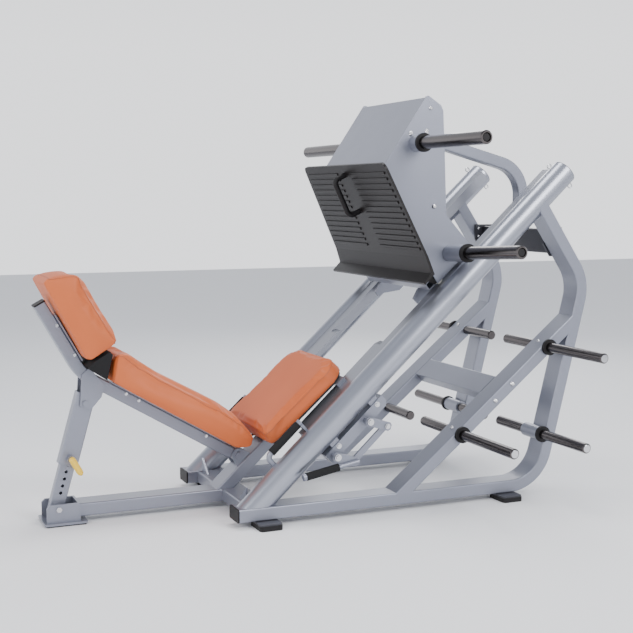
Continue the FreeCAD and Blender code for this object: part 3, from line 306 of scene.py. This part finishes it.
pads = [
    start_pad("seat_pad", "seat_cushion", downward(SEAT_PITCH), 0.010),
    start_pad("back_pad", "back_cushion", downward(BACK_PITCH), 0.012),
    start_pad("headrest_pad", "headrest_cushion", downward(HEAD_PITCH), 0.012),
]
inflate(pads)
for item, body in zip(pads, ("frame", "back", "back")):
    cushion = finish_pad(item)
    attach(cushion, body)
    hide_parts(item["node"])
seat_cushion, back_cushion, headrest_cushion = (item["obj"] for item in pads)

# ---------------------------------------------------------------- sewn seams
SEAM_RADIUS = 0.0016
SEAM_STEP = 0.012
SEAM_PROUD = 0.1
SEAT_FRONT_CORNER = 0.02
SEAT_REAR_CORNER = 0.092
CORNER_STEP = 15

seat_frame = placed(0.146, 0.316, SEAT_PITCH)


def seam(name, pad_obj, corners, body):
    """A sewn welt: a closed line through the corners, laid onto the pad's surface."""
    bm = bmesh.new()
    bm.from_mesh(pad_obj.data)
    tree = BVHTree.FromBMesh(bm)
    points = []
    for i, corner in enumerate(corners):
        a, b = Vector(corner), Vector(corners[(i + 1) % len(corners)])
        steps = max(2, int((b - a).length / SEAM_STEP))
        for k in range(steps):
            place, normal = tree.find_nearest(a.lerp(b, k / steps))[:2]
            points.append(place + normal * SEAM_RADIUS * SEAM_PROUD)
    bm.free()
    curve = bpy.data.curves.new(name, "CURVE")
    curve.dimensions = "3D"
    curve.bevel_depth = SEAM_RADIUS
    curve.bevel_resolution = 2
    spline = curve.splines.new("POLY")
    spline.points.add(len(points) - 1)
    for point, place in zip(spline.points, points):
        point.co = (*place, 1)
    spline.use_cyclic_u = True
    obj = link(bpy.data.objects.new(name, curve))
    curve.materials.append(welt)
    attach(obj, body)


def ring_on_seat(depth, half, near, far):
    """Rounded rectangle round the seat at a depth below its top."""
    front, rear = SEAT_FRONT_CORNER, SEAT_REAR_CORNER
    points = []
    for cx, cy, radius, first in ((far - rear, half - rear, rear, 0),
                                  (near + front, half - front, front, 90),
                                  (near + front, -half + front, front, 180),
                                  (far - rear, -half + rear, rear, 270)):
        for turned in range(0, 90 + CORNER_STEP, CORNER_STEP):
            angle = math.radians(first + turned)
            on_arc = Vector((cx + radius * math.cos(angle), cy + radius * math.sin(angle), -depth))
            points.append(seat_frame @ on_arc)
    return points


def profile_seams(name, pad_obj, profile, half, body):
    """Seams down both sides of a pad along its front edge, joined across its two ends."""
    right = [Vector((x / 1000 - ORIGIN_X, -half, z / 1000)) for x, z in profile]
    left = [Vector((p.x, half, p.z)) for p in reversed(right)]
    seam(name, pad_obj, right + left, body)


seam("seat_top_seam", seat_cushion, ring_on_seat(0.011, 0.234, -0.004, 0.426), "frame")
profile_seams("back_seam", back_cushion,
              [(-392, 636), (-368, 638), (-304, 590), (-230, 540), (0, 414), (94, 344), (136, 292)],
              0.15, "back")
profile_seams("headrest_seam", headrest_cushion,
              [(-630, 936), (-540, 938), (-518, 928), (-388, 696), (-392, 680)], 0.135, "back")

# ---------------------------------------------------------------- dark wedge in the gap between headrest and back pad
# A dark foam-coloured wedge that closes the gap between the headrest and the back pad.
GAP_WEDGE_HALF = 0.122
GAP_WEDGE_OUTLINE = [(-0.492, 0.592), (-0.424, 0.547), (-0.402, 0.640), (-0.410, 0.652), (-0.470, 0.618)]

wedge = bmesh.new()
right, left = ([wedge.verts.new((x - ORIGIN_X, side * GAP_WEDGE_HALF, z)) for x, z in GAP_WEDGE_OUTLINE]
               for side in BOTH_SIDES)
wedge.faces.new(right)
wedge.faces.new(list(reversed(left)))
for i in range(len(GAP_WEDGE_OUTLINE)):
    j = (i + 1) % len(GAP_WEDGE_OUTLINE)
    wedge.faces.new((right[i], left[i], left[j], right[j]))
bmesh.ops.recalc_face_normals(wedge, faces=wedge.faces)
wedge_piece = mesh_object("pad_gap_wedge", wedge, foam, smooth=False)
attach(wedge_piece, "back")

# ---------------------------------------------------------------- foot plate ribs
RIB_COUNT = 14
RIB_FIRST = 0.030
RIB_PITCH = 0.0245
RIB_WIDE = 0.011
RIB_PROUD = 0.004
GROOVE_HALF = 0.060
PLATE_HALF = 0.405
PLATE_TALL = 0.393
PLATE_NARROWS = 0.040

plate = placed(0.741, 0.990, 115.5)
ribs = bmesh.new()
for side in BOTH_SIDES:
    for k in range(RIB_COUNT):
        up = RIB_FIRST + k * RIB_PITCH
        outer = PLATE_HALF - PLATE_NARROWS * up / PLATE_TALL
        low, high = sorted((side * GROOVE_HALF, side * outer))
        soft_box(ribs, plate, (up, low, -0.001), (up + RIB_WIDE, high, RIB_PROUD), 0.0015)
rib_piece = mesh_object("foot_plate_ribs", ribs, plate_black, smooth=False)
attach(rib_piece, "carriage")

# ---------------------------------------------------------------- horn ends and bolt heads
def turned_to(centre, axis):
    """Frame at centre with its Z axis along axis."""
    turn = Vector((0, 0, 1)).rotation_difference(Vector(axis)).to_matrix().to_4x4()
    return Matrix.Translation(centre) @ turn


def disc(bm, centre, axis, radius, depth, taper=0.9, segments=40):
    """Short cylinder whose outer end is narrower by taper."""
    made = bmesh.ops.create_cone(bm, cap_ends=True, segments=segments, radius1=radius,
                                 radius2=radius * taper, depth=depth)
    bmesh.ops.transform(bm, matrix=turned_to(centre, axis), verts=made["verts"])


def hex_bolt(bm, centre, axis, radius, high):
    """Washer with a hexagon head on it; centre is on the face under the washer."""
    axis = Vector(axis).normalized()
    disc(bm, Vector(centre) + axis * 0.001, axis, radius * 1.35, 0.002, 1.0, 32)
    disc(bm, Vector(centre) + axis * (0.002 + high / 2), axis, radius, high, 0.97, 6)


def finish_group(name, bm, mat, body):
    """Turns small parts of one body into one piece."""
    piece = mesh_object(name, bm, mat, smooth=False)
    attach(piece, body)


def on_guide(along, above, y):
    """Place from guide coordinates in millimetres."""
    x = GUIDE_FOOT[0] + along * math.cos(GUIDE_TILT) - above * math.sin(GUIDE_TILT)
    z = GUIDE_FOOT[1] + along * math.sin(GUIDE_TILT) + above * math.cos(GUIDE_TILT)
    return Vector((x / 1000 - ORIGIN_X, y / 1000, z / 1000))


# Where each horn ends: machine X, machine Z and distance from the middle.
STORAGE_TIPS = ((1.334, 0.611, 0.745), (0.934, 0.2812, 0.760), (1.304, 0.256, 0.690))
UPPER_HORN = (0.767, 1.427, 0.8005)
LOWER_HORN = (0.920, 0.996)
HORN_ROOT = 0.285
LOWER_HORN_END = 0.805
PLUG_RADIUS = 0.0148
PLUG_DEEP = 0.003

storage_ends, sleeve_ends, plate_bolts = bmesh.new(), bmesh.new(), bmesh.new()
for side in BOTH_SIDES:
    for x, z, tip in STORAGE_TIPS:
        disc(storage_ends, (x - ORIGIN_X, side * (tip + 0.0006), z), (0, side, 0), 0.0150, 0.0012)
    x, z, tip = UPPER_HORN
    disc(sleeve_ends, (x - ORIGIN_X, side * tip, z), (0, side, 0), PLUG_RADIUS, PLUG_DEEP)
    x, z = LOWER_HORN
    along = LOWER_HORN_END - HORN_ROOT - 0.0045
    low_end = (x - ORIGIN_X, side * (HORN_ROOT + along * math.cos(HORN_RISE)),
               z + along * math.sin(HORN_RISE))
    outward = (0, side * math.cos(HORN_RISE), math.sin(HORN_RISE))
    disc(sleeve_ends, low_end, outward, PLUG_RADIUS, PLUG_DEEP)
    for x, z in ((0.810, 1.468), (0.742, 1.466)):
        hex_bolt(plate_bolts, (x - ORIGIN_X, side * 0.2851, z), (0, side, 0), 0.006, 0.005)
finish_group("storage_horn_ends", storage_ends, chrome, "frame")
finish_group("sleeve_end_plugs", sleeve_ends, rubber, "carriage")
finish_group("side_plate_bolts", plate_bolts, chrome, "carriage")

for side, word in ((-1, "right"), (1, "left")):
    arm, lever = bmesh.new(), bmesh.new()
    hex_bolt(arm, on_guide(507, -88, side * 390.1), (0, side, 0), 0.010, 0.006)
    hex_bolt(arm, on_guide(545, -153.8, side * 389.1), (0, side, 0), 0.008, 0.005)
    hex_bolt(lever, on_guide(322, -88, side * 390.1), (0, side, 0), 0.010, 0.006)
    finish_group(f"{word}_arm_nuts", arm, chrome, f"{word}_arm_body")
    finish_group(f"{word}_lever_nut", lever, chrome, f"{word}_lever_body")
    bracket = bmesh.new()
    for along in (362, 582):
        hex_bolt(bracket, on_guide(along, -79, side * 345.1), (0, side, 0), 0.008, 0.005)
    finish_group(f"{word}_bracket_bolts", bracket, chrome, "frame")

# ---------------------------------------------------------------- painted domes over the guide tubes' caps
DOME_PROFILE = [(0.3, 51.3), (3.2, 50.4), (6.0, 45.5), (8.6, 36.0), (10.6, 22.0), (11.8, 8.0)]
DOME_SEGMENTS = 48

domes = bmesh.new()
guide_axis = Vector((math.cos(GUIDE_TILT), 0, math.sin(GUIDE_TILT)))
across = Vector((0, 1, 0))
upward = guide_axis.cross(across)
turns = [math.radians(360 / DOME_SEGMENTS * k) for k in range(DOME_SEGMENTS)]
spokes = [across * math.cos(a) + upward * math.sin(a) for a in turns]
for side in BOTH_SIDES:
    rings = []
    for along, radius in DOME_PROFILE:
        centre = on_guide(GUIDE_LENGTH + along, 0, side * GUIDE_SIDE)
        rings.append([domes.verts.new(centre + spoke * radius / 1000) for spoke in spokes])
    for low, high in zip(rings, rings[1:]):
        for k in range(DOME_SEGMENTS):
            after_k = (k + 1) % DOME_SEGMENTS
            domes.faces.new((low[k], low[after_k], high[after_k], high[k]))
    domes.faces.new(rings[-1])
bmesh.ops.recalc_face_normals(domes, faces=domes.faces)
dome_piece = mesh_object("guide_cap_domes", domes, paint)
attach(dome_piece, "frame")

# ---------------------------------------------------------------- bolt heads on the back's straps
STRAP_HALF = 0.0301
STRAP_ABOVE = 0.013

strap_bolts = bmesh.new()
for start, end, parts in ((BACK_TOP, BACK_BEND, (0.32, 0.74)), (BACK_BEND, BACK_LOW, (0.26, 0.34, 0.78))):
    run = math.dist(start, end)
    ux, uz = (end[0] - start[0]) / run, (end[1] - start[1]) / run
    for part in parts:
        x = start[0] + ux * run * part - uz * STRAP_ABOVE
        z = start[1] + uz * run * part + ux * STRAP_ABOVE
        for side in BOTH_SIDES:
            hex_bolt(strap_bolts, (x - ORIGIN_X, side * STRAP_HALF, z), (0, side, 0), 0.0045, 0.004)
finish_group("strap_bolts", strap_bolts, chrome, "back")

# ---------------------------------------------------------------- studio
HORIZON = (0.96, 0.97, 1.0)
ZENITH = (0.30, 0.32, 0.36)
SKY_STRENGTH = 1.75
FLOOR_HALF = 14

world = bpy.data.worlds.new("studio")
world.use_nodes = True
sky = world.node_tree
sky_where = sky.nodes.new("ShaderNodeTexCoord")
sky_split = sky.nodes.new("ShaderNodeSeparateXYZ")
sky_ramp = sky.nodes.new("ShaderNodeValToRGB")
for stop, position, colour in zip(sky_ramp.color_ramp.elements, (0.12, 0.75), (HORIZON, ZENITH)):
    stop.position = position
    stop.color = (*colour, 1)
sky.links.new(sky_where.outputs["Generated"], sky_split.inputs["Vector"])
sky.links.new(sky_split.outputs["Z"], sky_ramp.inputs["Fac"])
sky.links.new(sky_ramp.outputs["Color"], sky.nodes["Background"].inputs["Color"])
sky.nodes["Background"].inputs["Strength"].default_value = SKY_STRENGTH
scene.world = world

floor_mesh = bpy.data.meshes.new("floor")
floor_corners = [(x * FLOOR_HALF, y * FLOOR_HALF, 0) for x, y in ((-1, -1), (1, -1), (1, 1), (-1, 1))]
floor_mesh.from_pydata(floor_corners, [], [(0, 1, 2, 3)])
floor = link(bpy.data.objects.new("floor", floor_mesh), material("floor", (0.93, 0.93, 0.94), rough=0.75))


def area_light(name, place, target, size, power, colour=(1, 1, 1)):
    """Rectangular light that faces the target."""
    light = bpy.data.lights.new(name, "AREA")
    light.shape = "RECTANGLE"
    light.size, light.size_y = size
    light.energy = power
    light.color = colour
    obj = link(bpy.data.objects.new(name, light))
    obj.location = place
    obj.rotation_euler = (Vector(target) - Vector(place)).to_track_quat("-Z", "Y").to_euler()


area_light("key", (1.8, -4.2, 3.6), (0, 0, 0.6), (2.4, 2.4), 170)
area_light("left", (-4.2, -1.6, 2.6), (-0.4, 0, 0.6), (1.6, 2.0), 70, (1.0, 0.98, 0.96))
area_light("top", (0.2, 0.4, 4.6), (0.1, 0, 0.6), (2.4, 1.6), 90)
area_light("back", (2.6, 3.6, 3.0), (0, 0, 0.8), (2.0, 2.0), 50)

# ---------------------------------------------------------------- camera
CAMERA_LENS = 66.34
CAMERA_PLACE = (-1.384 - ORIGIN_X, -4.337, 1.228)
CAMERA_TURN = math.radians(23.11)
CAMERA_DIP = math.radians(5.963)

camera = bpy.data.cameras.new("camera")
camera.sensor_width = 36.0
camera.lens = CAMERA_LENS
camera_obj = link(bpy.data.objects.new("camera", camera))
level = math.cos(CAMERA_DIP)
looking = Vector((math.sin(CAMERA_TURN) * level, math.cos(CAMERA_TURN) * level, -math.sin(CAMERA_DIP)))
camera_obj.location = CAMERA_PLACE
camera_obj.rotation_euler = looking.to_track_quat("-Z", "Y").to_euler()
scene.camera = camera_obj
